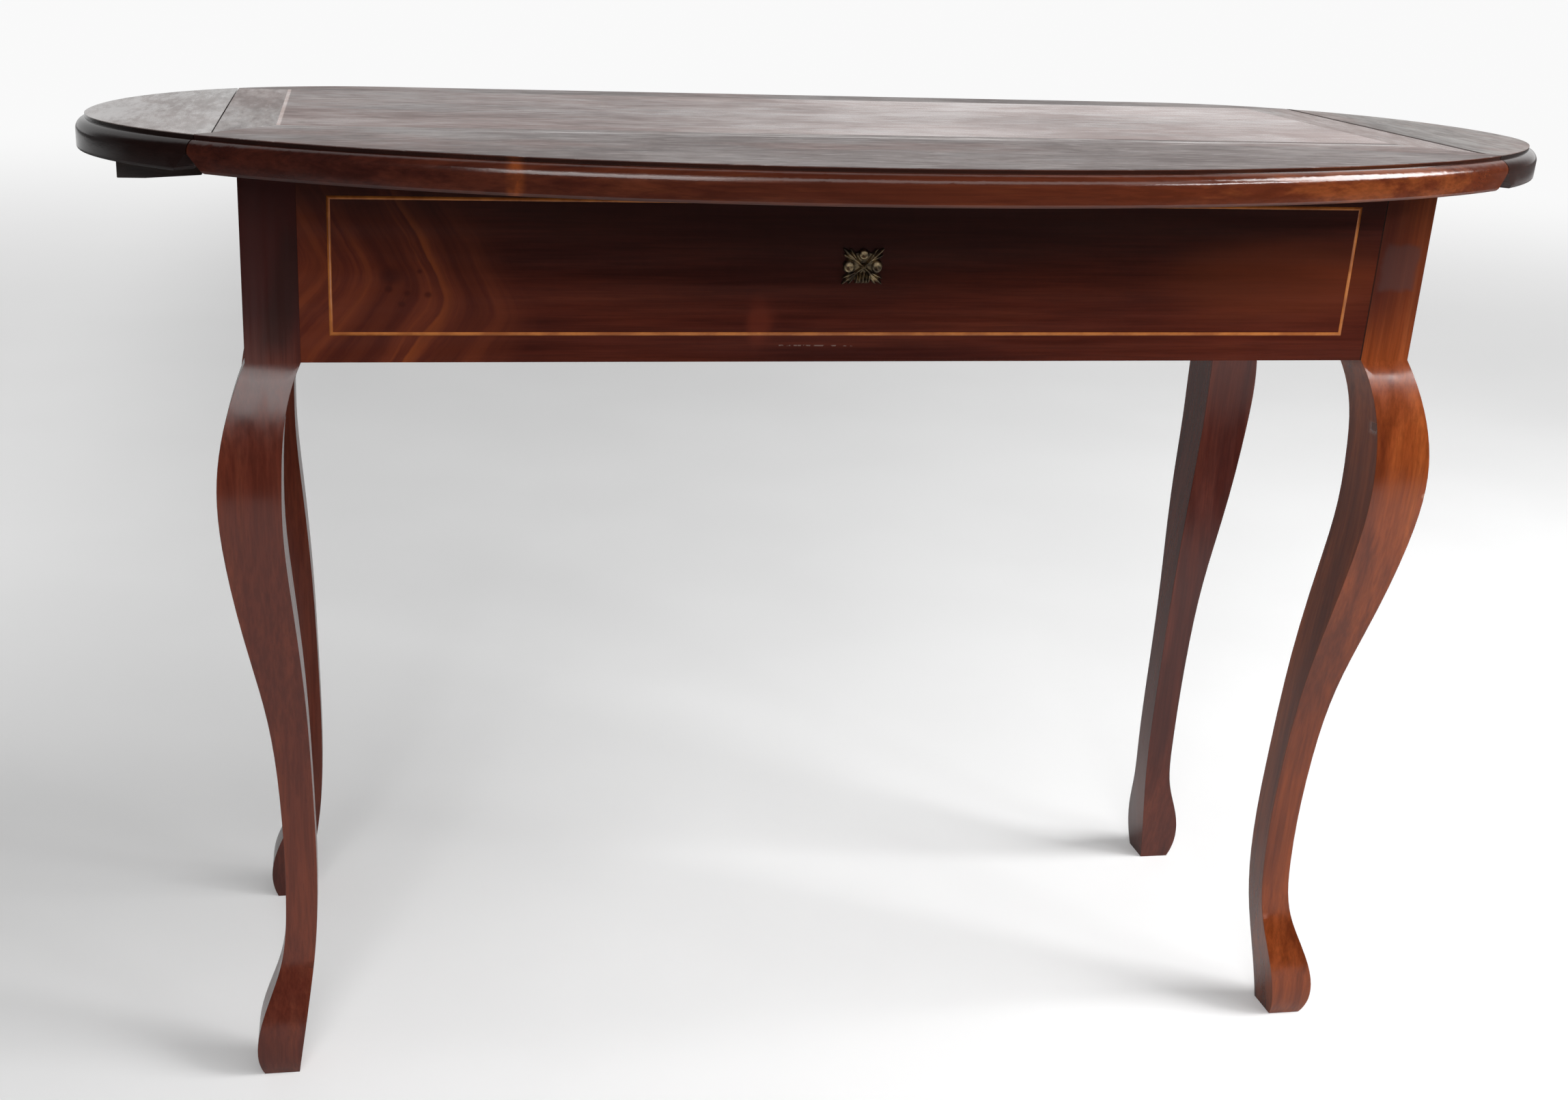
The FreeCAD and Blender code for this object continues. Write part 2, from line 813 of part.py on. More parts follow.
# What hangs under the top
keepers = [one for side in sides for one in at_lopers(make_keepers, side)]
export("loper_keepers", [one.cut(keeper_screw_set) for one in keepers])
export("loper_keeper_screws", keeper_screw_set)
export("top_buttons", [one.cut(button_screw_set) for one in at_buttons(make_button())])
export("top_button_screws", button_screw_set)

# Leaves, hinges, bearers and lopers of each side
for side in sides:
    bearer_screw_set = at_lopers(bearer_screws, side)
    export("leaf_" + side, [for_side(right_leaf, side).cut(bearer_screw_set)])
    export("leaf_bearers_" + side, [one.cut(bearer_screw_set) for one in at_lopers(make_bearers, side)])
    export("leaf_bearer_screws_" + side, bearer_screw_set)
    for part, leaf, screws in (("fixed", False, fixed_hinge_screws), ("leaf", True, leaf_hinge_screws)):
        plates = [hinge_plate(y, leaf).cut(screws) for y in hinge_places]
        export("hinge_plates_" + part + "_" + side, [for_side(one, side) for one in plates])
        export("hinge_screws_" + part + "_" + side, [for_side(one, side) for one in screws])
    hinge_pins = [
        Part.makeCylinder(
            hinge_pin_radius, hinge_length, Vector(seam_place, y - hinge_length / 2, top_middle), Vector(0, 1, 0)
        )
        for y in hinge_places
    ]
    export("hinge_pins_" + side, [for_side(one, side) for one in hinge_pins])
    for place, y in loper_places[side].items():
        export("loper_" + place + "_" + side, [for_side(make_loper(y), side)])
        export("loper_peg_" + place + "_" + side, [for_side(make_peg(y), side)])
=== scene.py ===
"""Looks of the drop-leaf console table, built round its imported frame. Lengths are in metres."""
import math
import bpy
import numpy as np
from mathutils import Matrix, Vector


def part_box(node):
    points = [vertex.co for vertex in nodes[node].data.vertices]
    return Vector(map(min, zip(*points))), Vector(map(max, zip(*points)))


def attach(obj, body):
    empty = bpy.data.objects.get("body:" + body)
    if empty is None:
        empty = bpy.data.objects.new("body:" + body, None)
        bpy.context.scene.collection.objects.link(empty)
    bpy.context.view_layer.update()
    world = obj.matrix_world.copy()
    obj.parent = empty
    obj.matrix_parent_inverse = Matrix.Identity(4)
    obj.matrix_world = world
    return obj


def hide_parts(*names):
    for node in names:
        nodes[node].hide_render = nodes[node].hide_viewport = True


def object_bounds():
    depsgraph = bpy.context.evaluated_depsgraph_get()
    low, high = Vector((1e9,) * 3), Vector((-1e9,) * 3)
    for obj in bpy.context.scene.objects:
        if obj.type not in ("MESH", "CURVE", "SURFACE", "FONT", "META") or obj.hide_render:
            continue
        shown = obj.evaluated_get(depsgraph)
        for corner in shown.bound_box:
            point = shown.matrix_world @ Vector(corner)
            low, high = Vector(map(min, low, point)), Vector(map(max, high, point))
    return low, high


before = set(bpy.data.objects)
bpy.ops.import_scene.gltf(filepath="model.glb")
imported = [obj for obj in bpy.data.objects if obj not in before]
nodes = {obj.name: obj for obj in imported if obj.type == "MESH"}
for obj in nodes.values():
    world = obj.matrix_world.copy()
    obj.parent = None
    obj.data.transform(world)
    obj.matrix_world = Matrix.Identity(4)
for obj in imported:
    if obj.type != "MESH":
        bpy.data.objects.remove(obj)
cad_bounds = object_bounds()
scene = bpy.context.scene
scene.view_settings.view_transform = "Standard"

# Camera, solved from the table's own right angles in the photograph
image_width_px = 2296
image_height_px = 1610
focal_length_px = 2621.4
principal_x_px = 931.8
principal_y_px = 827.3
camera_place = Vector((-0.3693, -1.3751, 0.9239))
camera_yaw = -0.1591
camera_pitch = -0.3526
camera_roll = 0.0360
sensor_width_mm = 36.0

# Places of the object, read from the frame, and the tongue with which the panel reaches under the rail
top_z = cad_bounds[1][2]
panel_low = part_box("top_panel")[0]
panel_tongue = 0.008
apron_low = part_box("apron_front")[0]
mount_low, mount_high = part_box("rosette")
front_y = apron_low.y
post_inner_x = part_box("leg_front_right")[0].x

# Marks seen in the photograph, as x and z on the front of the base
swirl_peak = (-0.314, 0.653)
swirl_lean = 0.28
swirl_slope = 0.65
swirl_round = 0.008
swirl_wander = 0.014
# Where each arc crosses the swirl's axis, how far it fades before and after, and its strength
swirl_arcs = ((-0.398, 0.010, 0.014, 0.16), (-0.365, 0.003, 0.006, 0.16), (-0.3185, 0.001, 0.0025, 0.16),
              (-0.309, 0.0018, 0.010, 0.50), (-0.272, 0.006, 0.024, 0.09))
# Darker bands of the swirl, from where to where and how strong
swirl_shades = ((-0.358, -0.326, 0.40), (-0.297, -0.277, 0.45))
swirl_shade_fade = 0.006
swirl_end = -0.262
swirl_end_fade = 0.03
swirl_length_share = 0.08
swirl_strength = 0.85
# Each knot's x, z and radius
knots = (
    (-0.348, 0.669, 0.0060), (-0.350, 0.659, 0.0022), (-0.337, 0.656, 0.0018),
    (-0.322, 0.655, 0.0020), (-0.341, 0.648, 0.0020), (-0.328, 0.672, 0.0015),
)
knot_depth = 0.004
knot_stretch = 1.2
red_patch_place = (-0.076, 0.636)
red_patch_radii = (0.009, 0.016)
red_patch_depth = 0.01
# Middle, radii, colour and strength of the dark cloud of painted shade under the top and of the light orange
# cloud to the right
shade_and_tone_clouds = (
    ((0.03, 0.742), (0.42, 0.078), (0.016, 0.0052, 0.0042), 0.70),
    ((0.335, 0.668), (0.085, 0.030), (0.135, 0.029, 0.009), 0.32),
)
cloud_depth = 0.05
# Heights between which painted shade darkens the apron towards the overhanging top
apron_shade_low = 0.692
apron_shade_high = 0.738
apron_shade_strength = 0.65
scratch_start = (-0.060, 0.6175)
scratch_end = (-0.003, 0.6172)
scratch_width = 0.0005
scratch_fade = 0.0004
# How far the dark joint beside the right post reaches to its two sides
apron_joint_left = 0.0011
apron_joint_right = 0.001
apron_joint_fade = 0.0003
# Painted shade: the posts darken from below the apron upwards, and more under the top
post_shade_below = 0.02
post_shade_above = 0.06
post_shade_strength = 0.55
left_post_share = 0.7
right_post_inner_share = 1.6
right_post_outer_share = 1.15
right_post_reach = 0.035
under_top_low = 0.665
under_top_high = 0.735
under_top_strength = 0.65
post_streak_start = (-0.414, 0.700)
post_streak_end = (-0.434, 0.612)
post_streak_width = 0.009
post_streak_fade = 0.012
ghost_low = (0.4185, 0.661)
ghost_high = (0.448, 0.696)
ghost_fade = 0.003
ghost_wobble = 0.008
ghost_skin = 0.001
chip_place = (0.480, 0.498)
chip_radii = (0.005, 0.03, 0.003)
chip_reach = 0.02

seam_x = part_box("leaf_right")[0].x
seam_line_width = 0.0035
seam_line_fade = 0.0008

# The moulded edge: where its worn face ends, the painted shade on the face of its lip, and its dull foot
face_low = 0.0008
face_high = 0.0002
groove_depth = 0.0034
groove_fade = 0.0003
edge_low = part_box("top_front_rail")[0].z
foot_rise = 0.0032
foot_dullness = 0.6
# Distance from the middle at which the front rail's edge turns orange, and how far below the top
orange_end_near = 0.480
orange_end_far = 0.497
orange_low = 0.016
orange_high = 0.006
edge_band_place = -0.270
edge_band_half = 0.004

# Marks on the top, as x and y
leaf_knots = ((-0.514, 0.034), (-0.474, -0.004))
leaf_knot_radii = (0.007, 0.012, 0.01)
leaf_middle = (-0.515, 0.03)
leaf_middle_radii = (0.045, 0.10, 0.05)
brown_spot_place = (-0.410, -0.037)
brown_spot_radii = (0.0028, 0.006, 0.01)
strip_low_x = -0.4285
strip_high_x = -0.4243
strip_fade = 0.0006
# Painted light: the panel turns paler towards the right between these places
panel_light_from = -0.25
panel_light_to = 0.10
# Pale wear of the front rail beside the panel, in front of the panel's edge and behind it
wear_front = 0.012
wear_back = 0.008
wear_fade = 0.006
# Line along the front of the panel, in front of the joint and behind it
joint_front = 0.0022
joint_back = 0.0008
joint_fade = 0.0006
joint_dark_from = 0.0
joint_dark_to = 0.3
joint_left_strength = 0.15
joint_right_strength = 0.8


# Node helpers
class Nodes:
    """Short ways to add nodes to a tree."""

    def __init__(self, tree):
        self.tree = tree

    def add(self, kind, inputs=None, **settings):
        node = self.tree.nodes.new(kind)
        for key, value in settings.items():
            setattr(node, key, value)
        for key, value in (inputs or {}).items():
            if isinstance(value, bpy.types.NodeSocket):
                self.tree.links.new(value, node.inputs[key])
            else:
                node.inputs[key].default_value = value
        return node

    def math(self, operation, a, b=0.0):
        return self.add("ShaderNodeMath", {0: a, 1: b}, operation=operation).outputs[0]

    def times(self, *values):
        """Product of values."""
        total = values[0]
        for value in values[1:]:
            total = self.math("MULTIPLY", total, value)
        return total

    def sum(self, *parts):
        """Sum of values that each have their own weight."""
        total = None
        for value, weight in parts:
            part = self.times(value, weight)
            total = part if total is None else self.math("ADD", total, part)
        return total

    def ramp(self, value, low, high, start=0.0, end=1.0):
        node = self.add("ShaderNodeMapRange", {0: value, 1: low, 2: high, 3: start, 4: end},
                        interpolation_type="SMOOTHSTEP")
        return node.outputs[0]


class Shader(Nodes):
    """A node material and the patterns that the woods and metals are made of."""

    def __init__(self, name):
        self.material = bpy.data.materials.new(name)
        self.material.use_nodes = True
        super().__init__(self.material.node_tree)
        self.surface = self.tree.nodes["Principled BSDF"]
        self.place = self.add("ShaderNodeTexCoord").outputs["Object"]
        split = self.add("ShaderNodeSeparateXYZ", {0: self.place})
        self.x, self.y, self.z = split.outputs

    def stretch(self, scale, shift=(0, 0, 0)):
        return self.add("ShaderNodeMapping", {0: self.place, 1: shift, 3: scale}).outputs[0]

    def noise(self, vector, scale, detail=3.0, roughness=0.5, distortion=0.0):
        node = self.add("ShaderNodeTexNoise", {
            "Vector": vector, "Scale": scale, "Detail": detail,
            "Roughness": roughness, "Distortion": distortion,
        })
        return node.outputs["Fac"]

    def mix(self, share, a, b, blend="MIX"):
        node = self.add("ShaderNodeMix", data_type="RGBA", blend_type=blend)
        for index, value in ((0, share), (6, a), (7, b)):
            if isinstance(value, bpy.types.NodeSocket):
                self.tree.links.new(value, node.inputs[index])
            elif index == 0:
                node.inputs[0].default_value = value
            else:
                node.inputs[index].default_value = (*value, 1.0)
        return node.outputs[2]

    def tint(self, colour, value):
        """The colour made lighter or darker by a grey value."""
        grey = self.add("ShaderNodeCombineColor", {0: value, 1: value, 2: value}).outputs[0]
        return self.mix(1.0, colour, grey, "MULTIPLY")

    def spot(self, centre, radii, soft, wobble=None):
        """1 inside an ellipsoid, falling to 0 over the soft share of its size."""
        offset = self.add("ShaderNodeVectorMath", {0: self.place, 1: centre}, operation="SUBTRACT")
        scaled = self.add("ShaderNodeVectorMath", {0: offset.outputs[0], 1: [1 / r for r in radii]},
                          operation="MULTIPLY")
        reach = self.add("ShaderNodeVectorMath", {0: scaled.outputs[0]}, operation="LENGTH").outputs["Value"]
        if wobble:
            reach = self.math("ADD", reach, wobble)
        return self.ramp(reach, 1 - soft, 1 + soft, 1.0, 0.0)

    def front_spot(self, place, radii, depth, soft, wobble=None):
        """A spot on the front of the base, given by its x and z."""
        return self.spot((place[0], front_y, place[1]), (radii[0], depth, radii[1]), soft, wobble)

    def wobble(self, scale, detail, reach):
        """Noise about 0, as far as the reach to both sides."""
        return self.times(self.math("SUBTRACT", self.noise(self.place, scale, detail), 0.5), reach)

    def between(self, value, low, high, soft):
        """1 while the value lies between two limits, with soft ends."""
        return self.times(self.ramp(value, low - soft, low + soft),
                          self.ramp(value, high - soft, high + soft, 1.0, 0.0))

    def line(self, start, end, width, soft):
        """1 along a line on a front face, given by x and z of its ends, falling to 0 beside it."""
        run_x = end[0] - start[0]
        run_z = end[1] - start[1]
        length = math.hypot(run_x, run_z)
        from_x = self.math("SUBTRACT", self.x, start[0])
        from_z = self.math("SUBTRACT", self.z, start[1])
        ahead = self.sum((from_x, run_x / length), (from_z, run_z / length))
        aside = self.math("ABSOLUTE", self.sum((from_x, run_z / length), (from_z, -run_x / length)))
        return self.times(self.between(ahead, 0.0, length, soft),
                          self.ramp(aside, width / 2, width / 2 + soft, 1.0, 0.0))

    def finish(self, colour, roughness, bump, depth, specular=0.5):
        surface = self.surface
        self.tree.links.new(colour, surface.inputs["Base Color"])
        if isinstance(roughness, float):
            surface.inputs["Roughness"].default_value = roughness
        else:
            self.tree.links.new(roughness, surface.inputs["Roughness"])
        surface.inputs["Specular IOR Level"].default_value = specular
        if bump is not None:
            node = self.add("ShaderNodeBump", {"Height": bump, "Distance": depth, "Strength": 1.0})
            self.tree.links.new(node.outputs[0], surface.inputs["Normal"])
        return self.material


def along(axis, share):
    """Scale that draws a pattern out along one axis."""
    return tuple(share if name == axis else 1.0 for name in "xyz")


class Grain:
    """Noise layers of one board whose grain runs along an axis."""

    def __init__(self, shader, axis, shift=(0, 0, 0), figure_scale=14.0, wave=0.7, streak_share=0.035):
        broad = shader.stretch(along(axis, 0.16), shift)
        narrow = shader.stretch(along(axis, streak_share), shift)
        short = shader.stretch(along(axis, 2 * streak_share), shift)
        self.figure = shader.noise(broad, figure_scale, 3.0, 0.55, wave)
        self.streak = shader.noise(narrow, 90.0, 5.0, 0.62, 0.15)
        self.fibre = shader.noise(narrow, 420.0, 3.0, 0.6)
        self.pore = shader.noise(short, 1100.0, 2.0, 0.6)
        self.relief = shader.sum((self.fibre, 0.5), (self.pore, 0.5))


def wood_colour(shader, grain, tones, pore_depth=0.35, contrast=1.0):
    """Three tones laid out by the figure, then streaked and pored."""
    dark, middle, light = tones
    layout = shader.sum((grain.figure, 0.62), (grain.streak, 0.38))
    half = 0.08 / contrast
    low = shader.mix(shader.ramp(layout, 0.44 - half, 0.44 + half), dark, middle)
    full = shader.mix(shader.ramp(layout, 0.58 - half, 0.58 + half), low, light)
    toned = shader.tint(full, shader.ramp(grain.fibre, 0.35, 0.65, 0.85, 1.10))
    pores = shader.ramp(grain.pore, 0.60, 0.70, 0.0, pore_depth)
    return shader.mix(pores, toned, dark)


# Tones
mahogany_dark = (0.036, 0.0062, 0.0036)
mahogany_middle = (0.064, 0.0112, 0.0052)
mahogany_light = (0.102, 0.0195, 0.0074)
mahogany_orange = (0.240, 0.056, 0.0120)
mahogany_red = (0.150, 0.026, 0.0120)
# Colour of the painted shade on the posts
painted_post_shade = (0.034, 0.0075, 0.0062)
ghost_grey = (0.056, 0.0270, 0.0240)
worn_brown = (0.150, 0.096, 0.086)
worn_dark = (0.075, 0.042, 0.037)
worn_red = (0.165, 0.078, 0.062)
pale_wear = (0.480, 0.430, 0.415)
carcase_tones = (mahogany_dark, mahogany_middle, mahogany_light)
red_leg_tones = ((0.048, 0.0095, 0.0060), (0.085, 0.0170, 0.0090), (0.125, 0.0270, 0.0120))
warm_leg_tones = ((0.100, 0.0190, 0.0052), (0.190, 0.0390, 0.0085), (0.290, 0.0680, 0.0130))
edge_left_tones = ((0.013, 0.0034, 0.0030), (0.028, 0.0064, 0.0044), (0.055, 0.0120, 0.0065))
edge_right_tones = ((0.036, 0.0075, 0.0036), (0.082, 0.0170, 0.0060), (0.155, 0.0380, 0.0100))
panel_tones = (worn_dark, worn_brown, (0.250, 0.180, 0.165))
rail_tones = ((0.070, 0.050, 0.047), (0.125, 0.095, 0.089), (0.210, 0.175, 0.165))
cross_tones = ((0.130, 0.100, 0.092), (0.210, 0.170, 0.158), (0.290, 0.245, 0.232))
leaf_tones = ((0.095, 0.080, 0.073), (0.165, 0.145, 0.134), (0.250, 0.228, 0.214))
joint_dark = (0.030, 0.016, 0.013)
apron_joint_dark = (0.012, 0.006, 0.004)
# Colour of the painted shade on the apron under the top
painted_apron_shade = (0.020, 0.0060, 0.0048)
swirl_tones = ((0.072, 0.0135, 0.0070), (0.110, 0.0220, 0.0090))
scratch_pale = (0.20, 0.14, 0.12)
streak_dark = (0.016, 0.006, 0.005)
chip_pale = (0.42, 0.24, 0.17)
# Colour of the painted shade on the face of the lip
painted_lip_shade = (0.010, 0.005, 0.004)
strip_pale = (0.50, 0.36, 0.32)
spot_brown = (0.09, 0.045, 0.025)
# Colour of the painted light on the panel
painted_light_panel = (0.42, 0.315, 0.295)
# Colour of the painted reflection on the left leaf
painted_reflection_leaf = (0.38, 0.345, 0.33)
leaf_knot_dark = (0.10, 0.08, 0.07)
leaf_middle_red = (0.150, 0.085, 0.070)
# Colour of the painted shade on the edges of the leaves
painted_leaf_edge_shade = (0.007, 0.0034, 0.0030)
inlay_tones = ((0.25, 0.068, 0.011), (0.40, 0.130, 0.024))
hidden_tones = ((0.13, 0.06, 0.028), (0.26, 0.14, 0.07), (0.38, 0.23, 0.13))
# Painted shade: the bearers under the leaves are toned near black
painted_shade_bearer_tones = ((0.012, 0.006, 0.005), (0.020, 0.010, 0.008), (0.040, 0.020, 0.015))

# How deep the grain of each finish is
polished_relief = 0.00002
board_relief = 0.00006
plain_relief = 0.0002
metal_relief = 0.00008
inlay_relief = 0.00004
# How far a worn face's roughness spreads to both sides
rough_spread = 0.11


def polished(name, axis, tones, shift=(0, 0, 0), figure_scale=14.0, marks=None, specular=0.35):
    """Satin varnished mahogany with its grain along an axis."""
    shader = Shader(name)
    grain = Grain(shader, axis, shift, figure_scale)
    colour = wood_colour(shader, grain, tones)
    if marks:
        colour = marks(shader, colour)
    roughness = shader.ramp(grain.streak, 0.3, 0.7, 0.16, 0.25)
    return shader.finish(colour, roughness, grain.relief, polished_relief, specular)


def swirl_coordinate(shader):
    """Distance along nested rounded chevrons, lengths in metres where they cross their axis."""
    drift = shader.math("SUBTRACT", shader.x, swirl_peak[0])
    axis_z = shader.math("SUBTRACT", swirl_peak[1], shader.times(drift, swirl_lean))
    rise = shader.math("SUBTRACT", shader.z, axis_z)
    bent = shader.math("SQRT", shader.math("ADD", shader.times(rise, rise), swirl_round ** 2))
    warp = shader.math("SUBTRACT", shader.noise(shader.place, 22.0, 3.0, 0.5), 0.5)
    return shader.sum((shader.x, 1.0), (bent, swirl_slope), (warp, swirl_wander),
                      (swirl_round, -swirl_slope))


def apron_marks(shader, colour):
    """Swirl with its knots, red patch, painted shade under the top as a dark cloud and a band, a light
    orange cloud, scratch and dark joint beside the right post.
    """
    run = swirl_coordinate(shader)
    inside = shader.ramp(run, swirl_end - swirl_end_fade, swirl_end + swirl_end_fade, 1.0, 0.0)
    flow = shader.times(shader.z, swirl_length_share)
    lines = shader.add("ShaderNodeCombineXYZ", {0: run, 1: shader.y, 2: flow})
    grain = shader.noise(lines.outputs[0], 130.0, 5.0, 0.65)
    swirl_wood = shader.mix(shader.ramp(grain, 0.38, 0.62), *swirl_tones)
    colour = shader.mix(shader.times(inside, swirl_strength), colour, swirl_wood)
    for low, high, strength in swirl_shades:
        shade = shader.between(run, low, high, swirl_shade_fade)
        colour = shader.mix(shader.times(shade, strength), colour, mahogany_dark)
    fade = shader.ramp(shader.noise(shader.place, 18.0, 2.0), 0.30, 0.60, 0.45, 1.0)
    for place, before, after, strength in swirl_arcs:
        arc = shader.times(shader.ramp(run, place - before, place),
                           shader.ramp(run, place, place + after, 1.0, 0.0))
        colour = shader.mix(shader.times(arc, fade, strength), colour, mahogany_orange)
    for x, z, radius in knots:
        knot = shader.spot((x, front_y, z), (radius * knot_stretch, knot_depth, radius), 0.6)
        colour = shader.mix(shader.times(knot, 0.7), colour, mahogany_dark)
    wobble = shader.wobble(60.0, 3.0, 1.2)
    patch = shader.front_spot(red_patch_place, red_patch_radii, red_patch_depth, 0.6, wobble)
    colour = shader.mix(shader.times(patch, 0.4), colour, mahogany_red)
    drift = shader.wobble(9.0, 3.0, 0.6)
    # The first cloud is painted shade under the overhanging top, the second a lighter orange cloud in the
    # wood
    for place, radii, tone, strength in shade_and_tone_clouds:
        cloud = shader.front_spot(place, radii, cloud_depth, 0.45, drift)
        colour = shader.mix(shader.times(cloud, strength), colour, tone)
    # Painted shade under the overhanging top
    shade = shader.ramp(shader.z, apron_shade_low, apron_shade_high, 0.0, apron_shade_strength)
    colour = shader.mix(shade, colour, painted_apron_shade)
    scratch = shader.line(scratch_start, scratch_end, scratch_width, scratch_fade)
    broken = shader.ramp(shader.noise(shader.place, 260.0), 0.45, 0.55)
    colour = shader.mix(shader.times(scratch, broken, 0.6), colour, scratch_pale)
    joint = shader.between(shader.x, post_inner_x - apron_joint_left, post_inner_x + apron_joint_right,
                           apron_joint_fade)
    return shader.mix(shader.times(joint, 0.85), colour, apron_joint_dark)


def leg_marks(shader, colour):
    """Painted shade over the posts, on the left and stronger on the right post's inner side, and under the
    top, a dark streak, a grey patch on the right post and a chip on its knee.
    """
    for_post = shader.ramp(shader.z, apron_low.z - post_shade_below, apron_low.z + post_shade_above,
                           0.0, post_shade_strength)
    on_left = shader.ramp(shader.x, -0.2, 0.2, left_post_share, 0.0)
    on_right = shader.ramp(shader.x, post_inner_x, post_inner_x + right_post_reach,
                           right_post_inner_share, right_post_outer_share)
    on_side = shader.math("ADD", on_left, on_right)
    under_top = shader.ramp(shader.z, under_top_low, under_top_high, 0.0, under_top_strength)
    # Painted shade over the posts, strongest on the right post's inner side, and under the top
    shade = shader.math("MAXIMUM", shader.times(for_post, on_side), under_top)
    colour = shader.mix(shade, colour, painted_post_shade)
    streak = shader.line(post_streak_start, post_streak_end, post_streak_width, post_streak_fade)
    colour = shader.mix(shader.times(streak, 0.6), colour, streak_dark)
    wobble = shader.wobble(90.0, 3.0, ghost_wobble)
    across = shader.math("ADD", shader.x, wobble)
    up = shader.math("ADD", shader.z, wobble)
    ghost = shader.times(shader.between(across, ghost_low[0], ghost_high[0], ghost_fade),
                         shader.between(up, ghost_low[1], ghost_high[1], ghost_fade))
    on_face = shader.ramp(shader.y, front_y + ghost_skin, front_y + 2 * ghost_skin, 1.0, 0.0)
    colour = shader.mix(shader.times(ghost, on_face, 0.6), colour, ghost_grey)
    chip = shader.spot((chip_place[0], front_y - chip_reach, chip_place[1]), chip_radii, 0.4)
    return shader.mix(shader.times(chip, 0.7), colour, chip_pale)


def board(name, axis, shift, tones, marks=None, worn_rough=0.44, wear=0.5):
    """Board of the top: a worn matt face, and a polished dark red moulded edge."""
    shader = Shader(name)
    grain = Grain(shader, axis, shift, 16.0, 1.2, 0.22)
    edge_grain = Grain(shader, axis, shift, 7.0)
    left_edge = wood_colour(shader, edge_grain, edge_left_tones, 0.15)
    right_edge = wood_colour(shader, edge_grain, edge_right_tones, 0.15, 1.6)
    edge = shader.mix(shader.ramp(shader.x, -0.45, 0.35), left_edge, right_edge)
    face = wood_colour(shader, grain, tones, 0.6, 1.3)
    blotch = shader.noise(shader.stretch(along(axis, 0.35), shift), 9.0, 4.0, 0.6, 0.5)
    face = shader.mix(shader.ramp(blotch, 0.48, 0.62, 0.0, 0.5), face, worn_red)
    dull = shader.noise(shader.stretch(along(axis, 0.40), shift), 16.0, 5.0, 0.65, 0.5)
    face = shader.mix(shader.ramp(dull, 0.50, 0.66, 0.0, 0.45), face, tones[0])
    lines = shader.noise(shader.stretch(along(axis, 0.20), shift), 170.0, 4.0, 0.7)
    face = shader.mix(shader.ramp(lines, 0.54, 0.68, 0.0, 0.7), face, tones[0])
    rubbed = shader.noise(shader.stretch(along(axis, 0.12), shift), 200.0, 4.0, 0.7)
    face = shader.mix(shader.ramp(rubbed, 0.56, 0.70, 0.0, wear), face, pale_wear)
    patchy = shader.sum((dull, 0.45), (grain.streak, 0.2), (lines, 0.35))
    face_rough = shader.ramp(patchy, 0.38, 0.62, worn_rough - rough_spread, worn_rough + rough_spread)
    if marks:
        edge, face, face_rough = marks(shader, edge, face, face_rough)
    # Painted shade on the face of the lip
    lip_shade = shader.between(shader.z, top_z - groove_depth, top_z - face_low, groove_fade)
    edge = shader.mix(shader.times(lip_shade, 0.75), edge, painted_lip_shade)
    flat = shader.ramp(shader.z, top_z - face_low, top_z - face_high)
    colour = shader.mix(flat, edge, face)
    polish = shader.ramp(edge_grain.streak, 0.3, 0.7, 0.12, 0.20)
    foot = shader.ramp(shader.z, edge_low, edge_low + foot_rise, foot_dullness, 0.0)
    edge_rough = shader.math("ADD", polish, foot)
    choice = shader.add("ShaderNodeMix", {0: flat, 2: edge_rough, 3: face_rough}, data_type="FLOAT")
    return shader.finish(colour, choice.outputs[0], grain.relief, board_relief, 0.4)


def front_rail_marks(shader, edge, face, rough):
    """Orange ends of the moulding, the lighter band in its left half and pale wear beside the panel."""
    reach = shader.math("ABSOLUTE", shader.x)
    height = shader.ramp(shader.z, top_z - orange_low, top_z - orange_high)
    ends = shader.times(shader.ramp(reach, orange_end_near, orange_end_far, 0.0, 0.8), height)
    edge = shader.mix(ends, edge, mahogany_orange)
    band = shader.between(shader.x, edge_band_place - edge_band_half, edge_band_place + edge_band_half,
                          edge_band_half)
    ragged = shader.ramp(shader.noise(shader.place, 120.0), 0.35, 0.6, 0.3, 1.0)
    edge = shader.mix(shader.times(band, ragged, 0.65), edge, mahogany_orange)
    streaks = shader.noise(shader.stretch(along("x", 0.03)), 240.0, 4.0, 0.7)
    beside = shader.between(shader.y, panel_low.y - wear_front, panel_low.y + wear_back, wear_fade)
    worn = shader.times(shader.ramp(streaks, 0.48, 0.60), beside)
    face = shader.mix(shader.times(worn, 0.75), face, pale_wear)
    joint = panel_joint(shader)
    rough = shader.sum((rough, 1.0), (worn, -0.15), (joint, 0.35))
    return edge, shader.mix(joint, face, joint_dark), rough


def panel_joint(shader):
    """Line along the front of the panel, dark towards the right."""
    joint_y = panel_low.y + panel_tongue
    line = shader.between(shader.y, joint_y - joint_front, joint_y + joint_back, joint_fade)
    strength = shader.ramp(shader.x, joint_dark_from, joint_dark_to,
                           joint_left_strength, joint_right_strength)
    return shader.times(line, strength)


def panel_marks(shader, edge, face, rough):
    """Pale strip along the left end of the panel, a brown spot near it, painted light paling the panel
    towards the right, and the joints.
    """
    strip = shader.between(shader.x, strip_low_x, strip_high_x, strip_fade)
    face = shader.mix(shader.times(strip, 0.85), face, strip_pale)
    spot = shader.spot((*brown_spot_place, top_z), brown_spot_radii, 0.5)
    face = shader.mix(shader.times(spot, 0.8), face, spot_brown)
    # Painted light: the panel paler towards the right, in uneven patches
    cloud = shader.noise(shader.stretch(along("x", 0.5)), 6.0, 4.0, 0.6)
    painted_light = shader.times(shader.ramp(shader.x, panel_light_from, panel_light_to, 0.0, 0.75),
                            shader.ramp(cloud, 0.35, 0.65, 0.35, 1.0))
    face = shader.mix(painted_light, face, painted_light_panel)
    joint = panel_joint(shader)
    rough = shader.sum((rough, 1.0), (painted_light, -0.20), (strip, -0.1), (joint, 0.35))
    return edge, shader.mix(joint, face, joint_dark), rough


